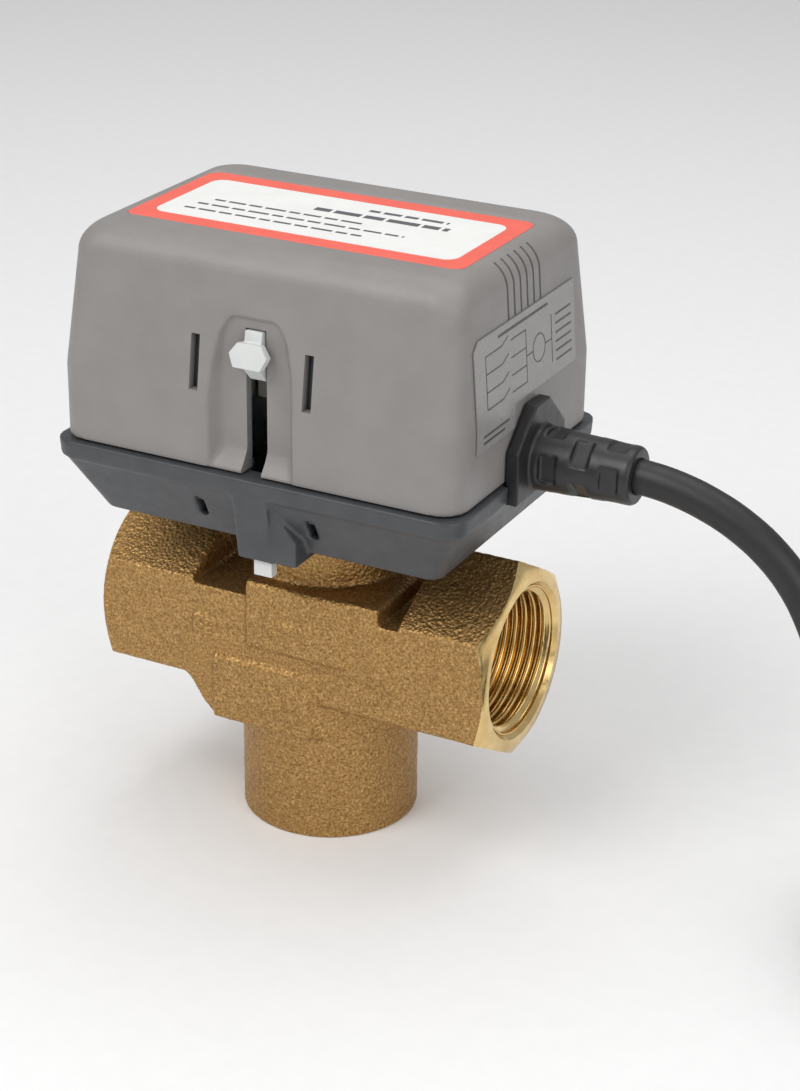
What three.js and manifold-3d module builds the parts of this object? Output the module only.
// Three-port motorised zone valve: a cast bronze body with a spool cartridge, and a snap-on
// motor head on it. Millimetres, +Z up. The origin is on the bottom port's axis, at its end face.
// +X points along the run towards port A and the cable, and -Y towards the manual lever.

import * as THREE from 'three';
import { mergeVertices } from 'three/addons/utils/BufferGeometryUtils.js';
import Module from 'manifold-3d';

const wasm = await Module();
wasm.setup();

// ---------------------------------------------------------------- driving dimensions

const GAP = 0.3; // between pieces that touch or slide

// casting
const RUN_Z = 46.8; // height of the run's axis
const RUN_END = 48.4; // from the centre to the end face of port A or B
const FLATS = 41; // across the flats of the run's hexagon
const HEX_R = FLATS / Math.sqrt(3);
const END_RING_R = 20; // outside of the turned end ring
const END_CONE = 2.3; // length of the cone that cuts the hexagon's corners
const PORT_R = 15.4; // thread, as a plain bore
const PORT_MOUTH_R = 16.9;
const PORT_DEPTH = 17.4;
const LEG_R = 20.2; // outside of the bottom port
const BOSS_R = 17.8; // round boss under the head
const BOSS_TOP = 72;
const CHAMBER_R = 12; // bore that takes the cartridge
const CHAMBER_FLOOR = 26.3;
const BONNET_BORE_R = 13;

// stem and lever travel
const STROKE = 9; // of the stem
const HINGE = { y: 24, z: 108.5 }; // lever pivot, along X
const HALF_SWING = Math.atan(STROKE / 2 / HINGE.y); // from mid travel to either end

// motor head: its centre lies a little off the stem's axis
const HEAD_X = -0.8;
const HEAD_Y = 0.8;
const TRAY_BOTTOM = 75.25;
const TRAY_FLOOR = 77.5; // inside
const RIM_BOTTOM = 88.2;
const RIM_TOP = 92.4;
const COVER_BOTTOM = 92.7;
const COVER_BREAK = 109; // where the draft begins
const COVER_TOP = 140;
const COVER = { x: 47.9, y: 34.3, corner: 6 }; // half sizes at the bottom edge
const DRAFT_X = Math.tan(THREE.MathUtils.degToRad(4.5));
const DRAFT_Y = Math.tan(THREE.MathUtils.degToRad(7.5));
const TOP_FILLET = 6.5;
const WALL = 2;
const CHANNEL = { half: 10.3, topHalf: 7, top: 126.5, floorY: -30.2 };
const LEVER_SLOT = { half: 2.45, top: 124.2 };
const WINDOW = { x: 13.5, half: 1.05, z0: 109.6, z1: 121.5 };
const CABLE_Z = 95.3;
const CABLE_R = 3.75;

// gear train: teeth, modules and shaft places
const WHEEL_TEETH = 43;
const PINION_TEETH = 9;
const FINE = 0.5; // module of the wheels and their pinions
const COARSE = 0.8; // module of the output pinion and the lever's sector
const SECTOR_TEETH = 35; // of a whole circle
const STAGE = ((WHEEL_TEETH + PINION_TEETH) * FINE) / 2; // shaft distance
const OUTPUT_DISTANCE = ((SECTOR_TEETH + PINION_TEETH) * COARSE) / 2;
const OUTPUT = offset(HINGE, OUTPUT_DISTANCE, 255.5);
const SECOND = offset(OUTPUT, STAGE, 132);
const FIRST = offset(SECOND, STAGE, 130);
const MOTOR = offset(FIRST, STAGE, 168);
const LEFT_PLATE_X = -24.3;
const RIGHT_PLATE_X = -9.9;
const PLATE = 1.2;

// cable put away in a coil beside the valve
const COIL = { x: 169, y: 8, inner: 33.9, outer: 49.9, bottom: 1.1, top: 15.6 };

// ---------------------------------------------------------------- helpers

// A point at a distance and angle in the YZ plane, with the angle from +Y towards +Z in degrees.
function offset(from, distance, degrees) {
  const a = THREE.MathUtils.degToRad(degrees);
  return { y: from.y + distance * Math.cos(a), z: from.z + distance * Math.sin(a) };
}

// A closed geometry as a solid, with its faces turned outwards.
function solid(geometry) {
  const bare = geometry.index ? geometry.toNonIndexed() : geometry.clone();
  bare.deleteAttribute('normal');
  bare.deleteAttribute('uv');
  const merged = mergeVertices(bare, 1e-4);
  const at = merged.attributes.position;
  const index = Array.from(merged.index.array);
  const corner = [new THREE.Vector3(), new THREE.Vector3(), new THREE.Vector3()];
  const kept = [];
  let volume = 0;
  for (let i = 0; i < index.length; i += 3) {
    const [a, b, c] = index.slice(i, i + 3);
    if (a === b || b === c || a === c) continue;
    [a, b, c].forEach((v, k) => corner[k].fromBufferAttribute(at, v));
    volume += corner[0].dot(corner[1].clone().cross(corner[2]));
    kept.push([a, b, c]);
  }
  const triVerts = kept.flatMap(([a, b, c]) => (volume > 0 ? [a, b, c] : [a, c, b]));
  return new wasm.Manifold(new wasm.Mesh({
    numProp: 3,
    vertProperties: new Float32Array(at.array),
    triVerts: new Uint32Array(triVerts),
  }));
}

// Extrudes an outline along an axis: outlines are (y, z) along x, (x, z) along y, (x, y) along z.
function prism(axis, outline, from, to) {
  const points = outline.map((p) => new THREE.Vector2(...p));
  const geometry = new THREE.ExtrudeGeometry(new THREE.Shape(points), {
    depth: to - from,
    bevelEnabled: false,
  });
  const [x, y, z] = [
    new THREE.Vector3(1, 0, 0),
    new THREE.Vector3(0, 1, 0),
    new THREE.Vector3(0, 0, 1),
  ];
  const turn = new THREE.Matrix4();
  if (axis === 'x') turn.makeBasis(y, z, x).setPosition(from, 0, 0);
  if (axis === 'y') turn.makeBasis(x, z, y.clone().negate()).setPosition(0, to, 0);
  if (axis === 'z') turn.makeBasis(x, y, z).setPosition(0, 0, from);
  return solid(geometry.applyMatrix4(turn));
}

const block = (x0, x1, y0, y1, z0, z1) =>
  prism('z', [[x0, y0], [x1, y0], [x1, y1], [x0, y1]], z0, z1);

function circle(radius, u = 0, v = 0, sides = 32) {
  return Array.from({ length: sides }, (_, i) => {
    const a = (2 * Math.PI * (i + 0.5)) / sides;
    return [u + radius * Math.cos(a), v + radius * Math.sin(a)];
  });
}

const rod = (axis, radius, u, v, from, to, sides = 24) =>
  prism(axis, circle(radius, u, v, sides), from, to);

function pipe(axis, outer, inner, u, v, from, to, sides = 32) {
  const core = rod(axis, inner, u, v, from - 1, to + 1, sides);
  return rod(axis, outer, u, v, from, to, sides).subtract(core);
}

// Turns a profile of [radius, along] about the z or x axis.
function turned(axis, profile, u = 0, v = 0, sides = 32) {
  const points = profile.map(([r, t]) => new THREE.Vector2(r, t));
  const geometry = new THREE.LatheGeometry(points, sides);
  if (axis === 'z') geometry.rotateX(Math.PI / 2).translate(u, v, 0);
  if (axis === 'x') geometry.rotateZ(-Math.PI / 2).translate(0, u, v);
  return solid(geometry);
}

// A ring of round section about the vertical axis.
function ring(radius, section, z, sides = 20) {
  const profile = circle(section, radius, z, 6);
  return turned('z', [...profile, profile[0]], 0, 0, sides);
}

// A straight or curved round wire through the given points.
function wire(points, radius, sides, steps) {
  const path = new THREE.CatmullRomCurve3(points.map((p) => new THREE.Vector3(...p)));
  const section = new THREE.Shape(circle(radius, 0, 0, sides).map((p) => new THREE.Vector2(...p)));
  return solid(new THREE.ExtrudeGeometry(section, { steps, extrudePath: path }));
}

// The outline of a rectangle with round corners, about the origin.
function roundedRectangle(halfX, halfY, corner, steps = 4) {
  const points = [];
  [[1, 1], [-1, 1], [-1, -1], [1, -1]].forEach(([sx, sy], quarter) => {
    for (let i = 0; i <= steps; i += 1) {
      const a = (Math.PI / 2) * (quarter + i / steps);
      const x = sx * (halfX - corner) + corner * Math.cos(a);
      const y = sy * (halfY - corner) + corner * Math.sin(a);
      points.push([x, y]);
    }
  });
  return points;
}

// A closed skin through convex outlines of equal length, stacked from the bottom up.
function loft(layers) {
  const count = layers[0].outline.length;
  const at = [];
  const triangles = [];
  layers.forEach(({ z, outline }) => outline.forEach(([x, y]) => at.push(x, y, z)));
  for (let layer = 0; layer + 1 < layers.length; layer += 1) {
    for (let i = 0; i < count; i += 1) {
      const a = layer * count + i;
      const b = layer * count + ((i + 1) % count);
      triangles.push(a, b, b + count, a, b + count, a + count);
    }
  }
  const top = (layers.length - 1) * count;
  for (let i = 1; i + 1 < count; i += 1) {
    triangles.push(0, i + 1, i, top, top + i, top + i + 1);
  }
  const geometry = new THREE.BufferGeometry();
  geometry.setAttribute('position', new THREE.Float32BufferAttribute(at, 3));
  geometry.setIndex(triangles);
  return solid(geometry);
}

const joined = (...solids) => solids.reduce((all, next) => all.add(next));
const cut = (from, ...solids) => solids.reduce((left, next) => left.subtract(next), from);

// A gear's outline, with thin teeth that leave backlash. phase is the direction of one tooth.
function gearOutline(teeth, module, phase) {
  const pitch = (teeth * module) / 2;
  const points = [];
  const flank = teeth > 20
    ? [[-0.26, -1.05], [0, 0.9], [0.26, -1.05]]
    : [[-0.27, -1.05], [-0.11, 0.8], [0.11, 0.8], [0.27, -1.05]];
  for (let i = 0; i < teeth; i += 1) {
    const middle = phase + (2 * Math.PI * i) / teeth;
    flank.forEach(([turn, depth]) => {
      const a = middle + (turn * 2 * Math.PI) / teeth;
      const r = pitch + depth * module;
      points.push([r * Math.cos(a), r * Math.sin(a)]);
    });
  }
  return points;
}

// The phase at which a gear at `to` meshes with one at `from` whose phase is known.
function meshedPhase(from, fromTeeth, fromPhase, to, toTeeth) {
  const line = Math.atan2(to.z - from.z, to.y - from.y);
  const here = ((line - fromPhase) * fromTeeth) / (2 * Math.PI);
  const there = 0.5 - here;
  return line + Math.PI - (there * 2 * Math.PI) / toTeeth;
}

// A toothed wheel along X, centred on a shaft place.
function gear(teeth, module, phase, place, from, to) {
  const outline = gearOutline(teeth, module, phase).map(([y, z]) => [y + place.y, z + place.z]);
  return prism('x', outline, from, to);
}

// ---------------------------------------------------------------- materials

const LOOKS = {
  bronze: { color: 0xa87f4b, roughness: 0.55, metalness: 0.9 },
  brass: { color: 0xc9a75a, roughness: 0.3, metalness: 1 },
  steel: { color: 0xb9bcc0, roughness: 0.35, metalness: 1 },
  coverGrey: { color: 0x878280, roughness: 0.6, metalness: 0 },
  trayGrey: { color: 0x45474a, roughness: 0.6, metalness: 0 },
  white: { color: 0xe9eae8, roughness: 0.45, metalness: 0 },
  black: { color: 0x1b1b1d, roughness: 0.55, metalness: 0 },
  rubber: { color: 0x121212, roughness: 0.8, metalness: 0 },
  label: { color: 0xf4705f, roughness: 0.5, metalness: 0 },
  clear: { color: 0xa8a8a6, roughness: 0.35, metalness: 0 },
  board: { color: 0x2c6a3c, roughness: 0.5, metalness: 0 },
  copper: { color: 0xb5673a, roughness: 0.4, metalness: 0.9 },
  acetal: { color: 0xddd9cc, roughness: 0.5, metalness: 0 },
  green: { color: 0x3f8f5a, roughness: 0.5, metalness: 0 },
  yellow: { color: 0xd8b23a, roughness: 0.5, metalness: 0 },
  brown: { color: 0x6b4226, roughness: 0.5, metalness: 0 },
  blue: { color: 0x2f6fb5, roughness: 0.5, metalness: 0 },
};

const valve = new THREE.Group();

// Adds a solid to the group as a named mesh.
function add(name, shape, look) {
  const { vertProperties, triVerts } = shape.getMesh();
  const geometry = new THREE.BufferGeometry();
  geometry.setAttribute('position', new THREE.BufferAttribute(vertProperties, 3));
  geometry.setIndex(new THREE.BufferAttribute(triVerts, 1));
  geometry.computeVertexNormals();
  const mesh = new THREE.Mesh(geometry, new THREE.MeshStandardMaterial(LOOKS[look]));
  mesh.name = name;
  valve.add(mesh);
}

// ---------------------------------------------------------------- casting

const POCKET_B = -24; // where port B's hexagon ends
const POCKET_A = 27.5; // where port A's hexagon ends
const POCKET_FLOOR = 57.6;
const BLOCK_BOTTOM = 25.8;

const hexagon = Array.from({ length: 6 }, (_, i) => {
  const a = Math.PI / 2 + (i * Math.PI) / 3;
  return [HEX_R * Math.cos(a), RUN_Z + HEX_R * Math.sin(a)];
});

// The run's middle, which has no roof: two pockets lie beside the boss.
function waist() {
  const roof = block(POCKET_B - 1, POCKET_A + 1, -30, 30, POCKET_FLOOR, 80);
  return prism('x', hexagon, POCKET_B, POCKET_A).subtract(roof);
}

// The block round the lower seat, square towards B and with cut corners towards A.
function lowerBlock() {
  const plan = [[-27, -20.9], [6.5, -20.9], [21.5, -6], [21.5, 6], [6.5, 20.9], [-27, 20.9]];
  const front = [[-27, 46], [-27, 35.6], [-18.4, BLOCK_BOTTOM], [22, BLOCK_BOTTOM], [22, 46]];
  return prism('z', plan, BLOCK_BOTTOM, 46).intersect(prism('y', front, -22, 22));
}

function valveBody() {
  const cornerCone = (side) => turned('x', [
    [0, 0], [30, 0], [30, side * 20], [HEX_R + 0.1, side * (RUN_END - END_CONE)],
    [END_RING_R, side * RUN_END], [0, side * RUN_END],
  ], 0, RUN_Z, 40);
  const portA = prism('x', hexagon, POCKET_A, RUN_END).intersect(cornerCone(1));
  const portB = prism('x', hexagon, -RUN_END, POCKET_B).intersect(cornerCone(-1));
  const leg = rod('z', LEG_R, 0, 0, 0, 32, 40);
  const boss = rod('z', BOSS_R, 0, 0, 40, BOSS_TOP, 40);
  const shoulder = block(-9.7, 22.9, -21, 21, 44, 61.8);
  const arrowPad = block(-9.7, 15.8, -21.5, -19, 46, 61);
  const letterPad = block(-18.4, 6.2, -21.7, -19, 26, 41.4);
  const casting = joined(
    portA, portB, waist(), lowerBlock(), leg, boss, shoulder, arrowPad, letterPad,
  );
  const mouth = (side) => turned('x', [
    [0, side * (RUN_END + 1)], [PORT_MOUTH_R + 1, side * (RUN_END + 1)],
    [PORT_R, side * (RUN_END - 1.5)], [PORT_R, side * (RUN_END - PORT_DEPTH)],
    [0, side * (RUN_END - PORT_DEPTH)],
  ], 0, RUN_Z, 32);
  const bottomMouth = turned('z', [
    [0, -1], [PORT_MOUTH_R + 1, -1], [PORT_R, 1.5], [PORT_R, PORT_DEPTH], [0, PORT_DEPTH],
  ], 0, 0, 32);
  return cut(
    casting,
    mouth(1),
    mouth(-1),
    bottomMouth,
    rod('z', 10, 0, 0, PORT_DEPTH - 1, CHAMBER_FLOOR + 1, 32),
    rod('z', CHAMBER_R, 0, 0, CHAMBER_FLOOR, 62, 32),
    rod('z', BONNET_BORE_R, 0, 0, 60.9, BOSS_TOP + 1, 32),
    block(8, RUN_END - PORT_DEPTH + 1, -7.5, 7.5, 47.6, 55.2),
    block(-RUN_END + PORT_DEPTH - 1, -8, -7.5, 7.5, 38.2, 45.6),
  );
}

add('valve_body', valveBody(), 'bronze');

// ---------------------------------------------------------------- cartridge and stem

const CAGE_R = CHAMBER_R - GAP;
const SPOOL_R = 8.5;
const STEM_R = 2;
const RING_HEIGHTS = { lower: 31.5, middle: 46.5, upper: 58.4 };
const WINDOW_A = [48, 54]; // height of the cage's window towards port A
const STEM_TOP = 98.5; // at rest, with the stem up

function bonnet() {
  const shape = turned('z', [
    [2.3, 61.2], [12.7, 61.2], [12.7, 72.3], [16.5, 72.3], [16.5, 74.9], [9.5, 74.9],
    [9.5, 84], [2.3, 84], [2.3, 67.9], [3.6, 67.9], [3.6, 65.9], [2.3, 65.9], [2.3, 61.2],
  ], 0, 0, 28);
  const lug = (side) => block(side > 0 ? 8.5 : -12.6, side > 0 ? 12.6 : -8.5, -4.5, 4.5, 77.9, 80.3);
  return joined(shape, lug(1), lug(-1)).subtract(block(-1.8, 1.8, 8.2, 11, 80.6, 83));
}

function cartridgeCage() {
  const profile = [[8.7, 26.6], [CAGE_R, 26.6]];
  Object.values(RING_HEIGHTS).forEach((z) => {
    profile.push([CAGE_R, z - 0.85], [10.4, z - 0.85], [10.4, z + 0.85], [CAGE_R, z + 0.85]);
  });
  profile.push([CAGE_R, 60.6], [8.7, 60.6], [8.7, 26.6]);
  const [low, high] = WINDOW_A;
  return cut(
    turned('z', profile, 0, 0, 28),
    block(5, 13, -5.5, 5.5, low, high),
    block(-13, -5, -5.5, 5.5, low - STROKE, high - STROKE),
  );
}

function valveSpool() {
  const profile = [
    [6.4, 36], [SPOOL_R, 36], [SPOOL_R, 37.4], [7.4, 37.4], [7.4, 38.7], [SPOOL_R, 38.7],
    [SPOOL_R, 45.4], [7.4, 45.4], [7.4, 46.7], [SPOOL_R, 46.7],
    [SPOOL_R, 58], [2.2, 58], [2.2, 55.5], [6.4, 55.5], [6.4, 36],
  ];
  const [low, high] = WINDOW_A;
  return turned('z', profile, 0, 0, 24).subtract(block(-9, 9, -4.5, 4.5, low, high));
}

function valveStem() {
  return turned('z', [
    [0, 53.8], [3.8, 53.8], [3.8, 55.2], [STEM_R, 55.2], [STEM_R, 95.5],
    [3.5, 95.5], [3.5, STEM_TOP], [0, STEM_TOP],
  ], 0, 0, 20);
}

add('bonnet', bonnet(), 'brass');
add('cartridge_cage', cartridgeCage(), 'black');
Object.entries(RING_HEIGHTS).forEach(([place, z]) => {
  add(`cage_oring_${place}`, ring(11.15, 0.72, z), 'rubber');
});
add('valve_spool', valveSpool(), 'acetal');
add('spool_seal_lower', ring(8.0, 0.55, 38.05), 'rubber');
add('spool_seal_upper', ring(8.0, 0.55, 46.05), 'rubber');
add('valve_stem', valveStem(), 'steel');
add('spool_clip', pipe('z', 4.4, 2.2, 0, 0, 58.3, 59.1, 20), 'steel');
add('stem_oring', ring(2.85, 0.65, 66.9, 20), 'rubber');

// ---------------------------------------------------------------- head: tray

const at = (outline) => outline.map(([x, y]) => [x + HEAD_X, y + HEAD_Y]);
const layer = (z, halfX, halfY, corner) => ({
  z,
  outline: at(roundedRectangle(halfX, halfY, corner)),
});
const SNAP_X = [HEAD_X - WINDOW.x, HEAD_X + WINDOW.x];
const GUIDE = { x0: -4.9, x1: 3.7, bottom: 72.9 };
const POST_X = [5.4, 8.2]; // post that carries the lever's pin and the output shaft
const RODS = { x: -5.8, y: 14.5, r: 1.5 };

// Hooks that stand inside the cover and snap into its windows.
function snapHook(x, side) {
  const out = Math.sign(x - HEAD_X);
  const wallY = HEAD_Y + side * (COVER.y - WALL - GAP);
  const lean = side * DRAFT_Y * 12.8;
  const outline = [
    [wallY, 84], [wallY, COVER_BREAK], [wallY - lean, 121.8],
    [wallY - lean - side * 1.5, 121.8], [wallY - side * 1.6, COVER_BREAK],
    [wallY - side * 1.6, 84],
  ];
  const inner = x - out * (side < 0 ? 0.8 : 3); // the front ones stand beside the channel
  return prism('x', outline, Math.min(inner, x + out * 3), Math.max(inner, x + out * 3));
}

function actuatorBase() {
  const shell = loft([
    layer(TRAY_BOTTOM, 41.1, 28.2, 3),
    layer(RIM_BOTTOM, 48.2, 35, 4.5),
    layer(RIM_BOTTOM + 0.5, 49, 35.7, 5),
    layer(RIM_TOP, 49.2, 35.9, 5),
  ]);
  const lip = loft([layer(90, 45.4, 31.9, 4), layer(95, 45.3, 31.8, 4)]);
  const hollow = loft([
    layer(TRAY_FLOOR, 39.2, 26.3, 2),
    layer(RIM_BOTTOM, 43.9, 30.4, 3),
    layer(96, 43.9, 30.4, 3),
  ]);
  const guide = prism('x', [[-25, GUIDE.bottom], [-32.2, GUIDE.bottom], [-34.7, 88.5], [-25, 88.5]],
    GUIDE.x0, GUIDE.x1);
  const gusset = prism('y', [[3, 87], [3, 73.4], [9.6, 73.4], [9.6, 79.2]], -32.6, -24);
  const post = block(...POST_X, 13, 28.5, TRAY_FLOOR - 1, 114);
  const rodFoot = (y) => rod('z', 2.8, RODS.x, y, TRAY_FLOOR - 1, 80.3, 16);
  const hooks = SNAP_X.flatMap((x) => [snapHook(x, -1), snapHook(x, 1)]);
  const boardRib = (y) => block(13.4, 18.2, y - 2, y + 2, TRAY_FLOOR - 1, 86)
    .subtract(block(14.7, 16.9, y - 3, y + 3, 83.6, 90));
  const solidTray = joined(
    shell.add(lip).subtract(hollow),
    guide, gusset, post, rodFoot(RODS.y), rodFoot(-RODS.y), ...hooks, boardRib(-20), boardRib(20),
  );
  const snapSlot = (x) => block(x - WINDOW.half, x + WINDOW.half, -40, -25, 79.9, 85);
  return cut(
    solidTray,
    rod('z', 9.9, 0, 0, 70, 84, 32), // hole for the bonnet's neck
    block(-13, 13, -4.9, 4.9, 70, TRAY_FLOOR + 0.1).rotate([0, 0, 45]), // way in for its lugs
    block(-1.9, 3.4, -31.6, -26, 70, 86), // the latch's channel
    block(-1.9, 3.4, -27, -24, 79.9, 83),
    block(5, 8.6, 12, 23.9, TRAY_FLOOR, 83.2),
    block(HEAD_X - 12.7, HEAD_X + 12.7, -40, -25, RIM_TOP, 100), // behind the lever's channel
    ...SNAP_X.map(snapSlot),
    block(46.9, 52, -12.3 + HEAD_Y, 12.3 + HEAD_Y, RIM_BOTTOM - 0.2, 100),
    rod('x', 7, HEAD_Y, CABLE_Z, 30, 52, 24),
    block(43, 52, HEAD_Y - 7, HEAD_Y + 7, CABLE_Z, 100),
    rod('x', 1.8, HINGE.y, HINGE.z, 0, 12, 16),
    rod('x', 1.5, OUTPUT.y, OUTPUT.z, 0, 12, 16),
    rod('z', RODS.r + GAP, RODS.x, RODS.y, 78.2, 90, 16),
    rod('z', RODS.r + GAP, RODS.x, -RODS.y, 78.2, 90, 16),
  );
}

add('actuator_base', actuatorBase(), 'trayGrey');

// ---------------------------------------------------------------- head: cover

// Half sizes of the cover's outside at a height.
function coverHalf(z) {
  const rise = Math.max(0, z - COVER_BREAK);
  return [COVER.x - rise * DRAFT_X, COVER.y - rise * DRAFT_Y];
}

// The cover's outside, or its inside when shrunk by the wall, up to its top.
function coverSkin(shrink, bottom, top) {
  const layers = [bottom, COVER_BREAK].map((z) => {
    const [x, y] = coverHalf(z);
    return layer(z, x - shrink, y - shrink, COVER.corner - shrink / 2);
  });
  const start = top - TOP_FILLET;
  const [startX, startY] = coverHalf(start);
  const steps = 4;
  for (let i = 0; i <= steps; i += 1) {
    const a = (Math.PI / 2) * (i / steps);
    const inward = TOP_FILLET * (1 - Math.cos(a));
    const z = start + TOP_FILLET * Math.sin(a);
    layers.push(layer(
      z, startX - shrink - inward, startY - shrink - inward, COVER.corner - shrink / 2,
    ));
  }
  return loft(layers);
}

// The arched channel that the lever's knob moves in, widened by a margin.
function channelOutline(margin) {
  const { half, topHalf, top } = CHANNEL;
  const points = [[-half - margin, 80], [half + margin, 80], [half + margin, 106]];
  const shoulder = 119;
  points.push([topHalf + 1.6 + margin, shoulder]);
  for (let i = 1; i < 4; i += 1) {
    const a = (Math.PI / 4) * i;
    const arch = top - shoulder + margin;
    points.push([(topHalf + margin * 0.8) * Math.cos(a), shoulder + arch * Math.sin(a) ** 0.6]);
  }
  points.push([-topHalf - 1.6 - margin, shoulder], [-half - margin, 106]);
  return points.map(([x, z]) => [x + HEAD_X, z]);
}

function actuatorCover() {
  const { floorY } = CHANNEL;
  const outside = coverSkin(0, COVER_BOTTOM, COVER_TOP);
  const inside = coverSkin(WALL, COVER_BOTTOM - 1, COVER_TOP - 2.4);
  const ramp = [
    [-45, 80], [-33.2, 80], [-33.2, 93.2], [floorY, 94.9], [floorY, 140], [-45, 140],
  ];
  const channel = prism('y', channelOutline(0), -45, floorY + 2)
    .intersect(prism('x', ramp, -20, 20));
  const backing = prism('y', channelOutline(2), -45, floorY + WALL).intersect(outside);
  const vent = (side, i) => {
    const y = HEAD_Y + (i - 2.5) * 2.7;
    return block(side > 0 ? 42.8 : -52, side > 0 ? 52 : -44.4, y - 0.45, y + 0.45, 129, 145);
  };
  const vents = [1, -1].flatMap((side) => [0, 1, 2, 3, 4, 5].map((i) => vent(side, i)));
  const window = (x, side) => {
    const [y0, y1] = side < 0 ? [-45, -25] : [25, 45];
    return block(x - WINDOW.half, x + WINDOW.half, y0, y1, WINDOW.z0, WINDOW.z1);
  };
  const slot = LEVER_SLOT;
  return cut(
    outside.subtract(inside).add(backing),
    channel,
    block(HEAD_X - slot.half, HEAD_X + slot.half, -45, -25, COVER_BOTTOM - 2, slot.top),
    ...SNAP_X.flatMap((x) => [window(x, -1), window(x, 1)]),
    ...vents,
    block(HEAD_X - 40.4, HEAD_X + 40.4, HEAD_Y - 18.9, HEAD_Y + 18.9, COVER_TOP - 0.6, 145),
    rod('x', 7, HEAD_Y, CABLE_Z, 30, 60, 24),
    block(30, 60, HEAD_Y - 7, HEAD_Y + 7, 90, CABLE_Z),
  );
}

// A thin clear label that follows the end face, with cut corners.
function wiringLabel() {
  const lift = 0.12;
  const thick = 0.25;
  const face = (z) => HEAD_X + coverHalf(z)[0] + lift;
  const profile = [
    [face(104), 104], [face(104) + thick, 104], [face(COVER_BREAK) + thick, COVER_BREAK],
    [face(127.5) + thick, 127.5], [face(127.5), 127.5], [face(COVER_BREAK), COVER_BREAK],
  ];
  const outline = [[-25, 104], [-7, 104], [-7, 109.4], [13, 109.4], [23.5, 109.4], [23.5, 127.5],
    [-23, 127.5], [-25, 125.5]];
  return prism('y', profile, -26, 24).intersect(prism('x', outline, 40, 52));
}

add('actuator_cover', actuatorCover(), 'coverGrey');
add('rating_label', prism('z', at(roundedRectangle(40, 18.5, 3)), 139.45, 139.8), 'label');
add('wiring_label', wiringLabel(), 'clear');

// ---------------------------------------------------------------- head: latch

const LATCH_TRAVEL = 2.5;

// The white tab under the lever, and the frame round the bonnet's neck that it pushes.
function headLatch() {
  const frame = block(-14.6, 13, -22.6, 20.8, 80.7, 82.3);
  const eye = block(-10.4, 10.4, -19.1, 16.5, 80, 83);
  const tab = block(-1.4, 2.9, -31.2, -29, 69.3, 82.3);
  const bridge = block(-1.4, 2.9, -31.2, -18, 80.7, 82.3);
  const tooth = block(-1.5, 1.5, 8.7, 17, 80.9, 82.3);
  return joined(frame.subtract(eye), tab, bridge, tooth);
}

function coilSpring(radius, gauge, turns, length) {
  const points = [];
  const perTurn = 8;
  for (let i = 0; i <= turns * perTurn; i += 1) {
    const a = (2 * Math.PI * i) / perTurn;
    const y = (length * i) / (turns * perTurn);
    points.push([radius * Math.cos(a), y, radius * Math.sin(a)]);
  }
  return wire(points, gauge, 5, turns * perTurn);
}

add('head_latch', headLatch(), 'white');
add('latch_spring', coilSpring(1.6, 0.25, 4, 3.4).translate([11, 21.2, 81.5]), 'steel');

// ---------------------------------------------------------------- head: motor and gears

function motorCase() {
  return cut(
    rod('x', 19, MOTOR.y, MOTOR.z, -43, -25.7, 40),
    rod('x', 18, MOTOR.y, MOTOR.z, -42, -25, 40),
    rod('x', 1.4, MOTOR.y, MOTOR.z, -44, -41, 16),
  );
}

function motorRotor() {
  const magnet = rod('x', 9, MOTOR.y, MOTOR.z, -40, -28, 32);
  const shaft = rod('x', 1, MOTOR.y, MOTOR.z, -42.6, -19.9, 12);
  return joined(magnet, shaft, gear(PINION_TEETH, FINE, 0, MOTOR, -22.9, -20.1));
}

// Phases in mesh at rest, from the motor to the output shaft.
const phase = { motor: 0, pinion: 0 };
phase.first = meshedPhase(MOTOR, PINION_TEETH, phase.motor, FIRST, WHEEL_TEETH);
phase.second = meshedPhase(FIRST, PINION_TEETH, phase.pinion, SECOND, WHEEL_TEETH);
phase.output = meshedPhase(SECOND, PINION_TEETH, phase.pinion, OUTPUT, WHEEL_TEETH);
phase.sector = Math.atan2(OUTPUT.z - HINGE.z, OUTPUT.y - HINGE.y);
phase.outputPinion = meshedPhase(
  HINGE, SECTOR_TEETH, phase.sector - HALF_SWING, OUTPUT, PINION_TEETH,
);

// A wheel and its pinion on one shaft between the plates.
function gearCluster(place, wheelPhase, wheelX, shaftRadius) {
  return joined(
    gear(WHEEL_TEETH, FINE, wheelPhase, place, wheelX, wheelX + 1.5),
    gear(PINION_TEETH, FINE, phase.pinion, place, wheelX + 1.4, wheelX + 4.4),
    rod('x', shaftRadius, place.y, place.z, LEFT_PLATE_X + 0.1, RIGHT_PLATE_X + PLATE - 0.1, 12),
  );
}

function outputGear() {
  return joined(
    gear(WHEEL_TEETH, FINE, phase.output, OUTPUT, -17.1, -15.6),
    rod('x', 1.2, OUTPUT.y, OUTPUT.z, LEFT_PLATE_X + 0.1, 7.8, 12),
    gear(PINION_TEETH, COARSE, phase.outputPinion, OUTPUT, 1.4, 5.0),
  );
}

const SPACERS = [[-22, 97], [22, 114.5], [-22, 129]];

function gearPlate(from, motorHole, ...reliefs) {
  const outline = [
    [-12, 78.2], [22, 78.2], [28.5, 83], [28.5, 117], [12, 130], [8, 133.5], [-27, 133.5],
    [-27, 93], [-16, 84],
  ];
  const hole = (place, radius) => rod('x', radius, place.y, place.z, from - 1, from + PLATE + 1, 12);
  const shafts = [FIRST, SECOND, OUTPUT].map((place) => hole(place, 1.5));
  const pin = hole(HINGE, 1.8);
  const plate = prism('x', outline, from, from + PLATE);
  return cut(plate, ...shafts, pin, hole(MOTOR, motorHole), ...reliefs);
}

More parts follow.
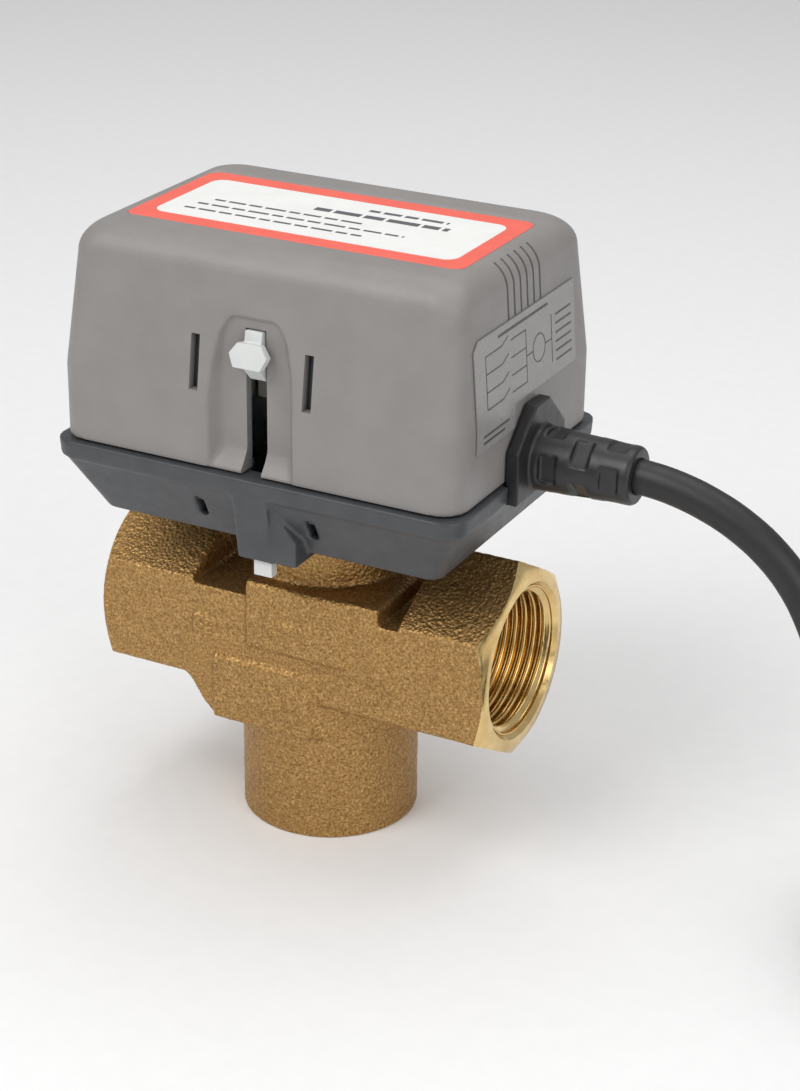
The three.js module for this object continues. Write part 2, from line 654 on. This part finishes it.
add('motor_case', motorCase(), 'steel');
add('motor_lid', pipe('x', 18.8, 3.2, MOTOR.y, MOTOR.z, -25.4, -24.6, 32), 'steel');
add('motor_coil', pipe('x', 17.4, 10.4, MOTOR.y, MOTOR.z, -41.5, -26.8, 32), 'copper');
add('motor_rotor', motorRotor(), 'steel');
add('gear_plate_left', gearPlate(LEFT_PLATE_X, 3.2), 'steel');
add('gear_plate_right', gearPlate(
  RIGHT_PLATE_X,
  2,
  block(-12, -7, -30, 23.6, 75, 83.2), // over the latch
  block(-12, -7, -5.5, 5.5, 75, 87), // and the bonnet
), 'steel');
SPACERS.forEach(([y, z], i) => {
  add(`plate_spacer_${i + 1}`, rod('x', 2.2, y, z, LEFT_PLATE_X + PLATE + 0.1, RIGHT_PLATE_X - 0.1, 12), 'brass');
});
add('first_gear', gearCluster(FIRST, phase.first, -22.3, 1), 'brass');
add('second_gear', gearCluster(SECOND, phase.second, -19.7, 1), 'brass');
add('output_gear', outputGear(), 'brass');

// ---------------------------------------------------------------- head: lever and carriage

// Turns a piece of the lever from mid travel to rest, with the knob up.
function atRest(shape) {
  const degrees = THREE.MathUtils.radToDeg(-HALF_SWING);
  return shape.rotate([degrees, 0, 0]).translate([0, HINGE.y, HINGE.z]);
}

const ARM = { x0: 1.7, x1: 4.7 };
const LEVER = { x0: HEAD_X - 2, x1: HEAD_X + 2, tip: -57 };
const LEVER_PINS = [-37, -46];
const PUSH = 1; // how far the lever pushes in
const CONTACT_ARM = -16; // from the hinge to the lug that works the switches

// The arm turns on the lever's pin, carries the stem's carriage and has a toothed sector.
function rockerArm() {
  const beam = prism('x', [
    [4, 5], [-20, 6], [-50, 4.6], [-50, -4.6], [-20, -6], [4, -5],
  ], ARM.x0, ARM.x1);
  const hub = rod('x', 5, 0, 0, -1, ARM.x1, 24);
  const teeth = 6;
  const step = (2 * Math.PI) / SECTOR_TEETH;
  const middle = phase.sector;
  const whole = prism('x', gearOutline(SECTOR_TEETH, COARSE, middle), ARM.x0, ARM.x1);
  const spread = step * (teeth / 2 + 0.5);
  const wedge = [[0, 0]];
  for (let i = -2; i <= 2; i += 1) {
    const a = middle + (spread * i) / 2;
    wedge.push([22 * Math.cos(a), 22 * Math.sin(a)]);
  }
  const sector = whole.intersect(prism('x', wedge, ARM.x0, ARM.x1));
  const pins = LEVER_PINS.map((y) => rod('x', 1.6, y, 0, -3.4, ARM.x0 + 0.5, 14));
  const lug = rod('x', 1.5, CONTACT_ARM, 0, ARM.x1 - 0.5, 13, 14);
  const pinSlot = block(0, 8, -27, -21.6, -2.2, 2.2);
  const solidArm = cut(joined(beam, hub, sector), pinSlot, rod('x', 1.8, 0, 0, -5, 8, 16));
  return atRest(joined(solidArm, ...pins, lug));
}

function manualLever() {
  const { x0, x1, tip } = LEVER;
  const blade = prism('x', [
    [tip, 5.2], [tip, -2.8], [-53.4, -5.5], [-47, -5.5], [-33.6, -3.8], [-33.6, 3.8], [-47, 5.2],
  ], x0, x1);
  const knob = prism('y', [
    [-4.55, 0.2], [-2.7, 2.65], [2.9, 2.65], [4.55, 0.2], [3.1, -2.65], [-3.4, -2.65],
  ].map(([x, z]) => [x + HEAD_X, z]), tip - 1.8, tip + 0.1);
  const slots = LEVER_PINS.map((y) => block(-8, 8, y - PUSH - 1.95, y + 1.95, -1.95, 1.95));
  return atRest(cut(joined(blade, knob), ...slots));
}

const CARRIAGE_Z = HINGE.z + STROKE / 2; // its pin's height at rest

function stemCarriage() {
  const low = STEM_TOP - 4.4;
  const fork = block(-8.2, 6, -6, 6, low, low + 7.6);
  const column = block(-8.2, 1.3, -6, 6, low + 7, CARRIAGE_Z + 4.4);
  const ears = block(-8.2, -3.5, -17.2, 17.2, 104, 110);
  const pin = rod('x', 1.9, 0, CARRIAGE_Z, 1, 6.2, 16);
  return cut(
    joined(fork, column, ears, pin),
    block(-2.4, 2.4, -7, 2.4, low - 1, low + 3),
    block(-3.9, 3.9, -7, 3.9, low + 1.1, low + 4.7),
    rod('z', RODS.r + GAP, RODS.x, RODS.y, 100, 115, 16),
    rod('z', RODS.r + GAP, RODS.x, -RODS.y, 100, 115, 16),
  );
}

add('rocker_arm', rockerArm(), 'acetal');
add('manual_lever', manualLever(), 'white');
add('lever_pin', rod('x', 1.5, HINGE.y, HINGE.z, RIGHT_PLATE_X - 0.4, POST_X[1], 16), 'steel');
add('stem_carriage', stemCarriage(), 'acetal');
add('guide_rod_front', rod('z', RODS.r, RODS.x, -RODS.y, 78.6, 124, 12), 'steel');
add('guide_rod_rear', rod('z', RODS.r, RODS.x, RODS.y, 78.6, 124, 12), 'steel');

// ---------------------------------------------------------------- head: electrics

const LUG = atRestPoint(CONTACT_ARM);
const SWITCH = { x0: 8.7, x1: 14.3, x: 11.5 };
const BUTTON_REACH = 1.75; // how far a button stands out of its switch
const BUTTON_TRAVEL = 0.8;

// Where a point on the arm's middle line lies at rest.
function atRestPoint(along) {
  return {
    y: HINGE.y + along * Math.cos(HALF_SWING),
    top: HINGE.z - along * Math.sin(HALF_SWING) + 1.5,
    bottom: HINGE.z + along * Math.sin(HALF_SWING) - 1.5,
  };
}

// A snap switch whose button points up or down at the lug.
function limitSwitch(face, side) {
  const [z0, z1] = side > 0 ? [face, face + 10] : [face - 10, face];
  const body = block(SWITCH.x0, SWITCH.x1, LUG.y - 9.8, LUG.y + 4.2, z0, z1);
  const [h0, h1] = side > 0 ? [face - 1, face + 2.4] : [face - 2.4, face + 1];
  return body.subtract(rod('z', 1.45, SWITCH.x, LUG.y, h0, h1, 12));
}

const upperFace = LUG.top + GAP + BUTTON_REACH;
const lowerFace = LUG.bottom - GAP - BUTTON_REACH;

add('limit_switch_upper', limitSwitch(upperFace, 1), 'black');
add('switch_button_upper', rod('z', 1.1, SWITCH.x, LUG.y, upperFace - BUTTON_REACH, upperFace + 1.2, 12), 'acetal');
add('limit_switch_lower', limitSwitch(lowerFace, -1), 'black');
add('switch_button_lower', rod('z', 1.1, SWITCH.x, LUG.y, lowerFace - 1.2, lowerFace + BUTTON_REACH, 12), 'acetal');
add('circuit_board', block(15, 16.6, -26, 26, 84, 129), 'board');
add('motor_capacitor', prism('x', roundedRectangle(10, 7.5, 2).map(([y, z]) => [y - 12, z + 114]), 17, 27), 'yellow');

const WIRE_Y = [-5, 0, 5];

function terminalBlock() {
  const flat = block(17, 27, HEAD_Y - 8, HEAD_Y + 8, 86, 97);
  const wells = WIRE_Y.map((y) => rod('z', 1.7, 22, y + HEAD_Y, 94.5, 98, 12));
  return cut(flat, ...wells);
}

add('terminal_block', terminalBlock(), 'green');
WIRE_Y.forEach((y, i) => {
  add(`terminal_screw_${i + 1}`, rod('z', 1.3, 22, y + HEAD_Y, 94.8, 96.6, 10), 'steel');
});

// ---------------------------------------------------------------- cable, gland and coil

function cableGland() {
  const plate = prism('x', [
    [-11.9, 88.1], [11.9, 88.1], [11.9, 99.8], [3.3, 107.9], [-3.3, 107.9], [-11.9, 99.8],
  ].map(([y, z]) => [y + HEAD_Y, z]), 47.5, 50.3);
  const barrel = turned('x', [
    [0, 40.8], [7.7, 40.8], [7.7, 42.7], [6.5, 42.7], [6.5, 50], [7.1, 50], [6.7, 60],
    [6.35, 68], [6.35, 72.4], [0, 72.4],
  ], HEAD_Y, CABLE_Z, 24);
  return joined(plate, barrel).subtract(rod('x', CABLE_R + GAP, HEAD_Y, CABLE_Z, 40, 75, 24));
}

// The cable from the gland to the top of the coil.
const CABLE_ROUTE = [
  [43.4, 0.8, 95.3], [58, 0.8, 95.3], [66, 0.8, 95.3], [74, 0.8, 95.25], [81, 0.8, 94.3], [88.5, 0.7, 92.2],
  [95.5, 0.4, 89.2], [102.5, -0.1, 84.7], [108.5, -0.9, 79], [113.2, -2, 72.3],
  [116.8, -3.2, 65.1], [119.6, -4.6, 57.6], [122, -6.3, 50.1], [124.6, -8.3, 42.8],
  [128, -10.9, 36], [132.3, -14.2, 30.1], [137.4, -18, 25.2], [142, -21.3, 22.1],
];

function cableTail() {
  const y = COIL.y - 45.8;
  return rod('x', CABLE_R, y, COIL.bottom + 0.05 + CABLE_R, COIL.x + 26.6, COIL.x + 40, 10);
}

function coilRing() {
  const { inner, outer, bottom, top, x, y } = COIL;
  return turned('z', [
    [inner, bottom], [outer, bottom], [outer, bottom + 8], [outer - 4, top],
    [inner + 4, top], [inner, bottom + 8], [inner, bottom],
  ], x, y, 32);
}

// A flat band right round the bundle of turns.
function cableTie() {
  const { inner, outer, top, bottom, x, y } = COIL;
  const section = (grow) => [
    [y + inner - grow, bottom - grow], [y + outer + grow, bottom - grow],
    [y + outer + grow, bottom + 8 + grow * 0.5], [y + outer - 4 + grow * 0.5, top + grow],
    [y + inner + 4 - grow * 0.5, top + grow], [y + inner - grow, bottom + 8 + grow * 0.5],
  ];
  const band = prism('x', section(1.1), x - 2.5, x + 2.5);
  return band.subtract(prism('x', section(0.35), x - 3, x + 3));
}

const CORES = { brown: [-2.1, 0], black: [0, 3.6], blue: [2.1, 0] };

add('cable_gland', cableGland(), 'black');
add('power_cable', wire(CABLE_ROUTE, CABLE_R, 10, 36), 'black');
add('cable_coil', coilRing(), 'black');
add('cable_tie', cableTie(), 'white');
add('cable_tail', cableTail(), 'black');
Object.entries(CORES).forEach(([colour, [y, z]], i) => {
  const from = [42.2, HEAD_Y + y, CABLE_Z - 1 + z * 0.6];
  const to = [27.6, HEAD_Y + WIRE_Y[i], 90.5];
  const middle = [35, HEAD_Y + (y + WIRE_Y[i]) / 2, 93.6 + z * 0.3];
  add(`inner_wire_${colour}`, wire([from, middle, to], 1, 8, 8), colour);
  const endY = COIL.y - 45.8 + y;
  const endZ = COIL.bottom + CABLE_R - 1.2 + z * 0.75;
  const end = rod('x', 1.1, endY, endZ, COIL.x + 40.3, COIL.x + 62, 8);
  add(`end_wire_${colour}`, end, colour);
});

export default valve;
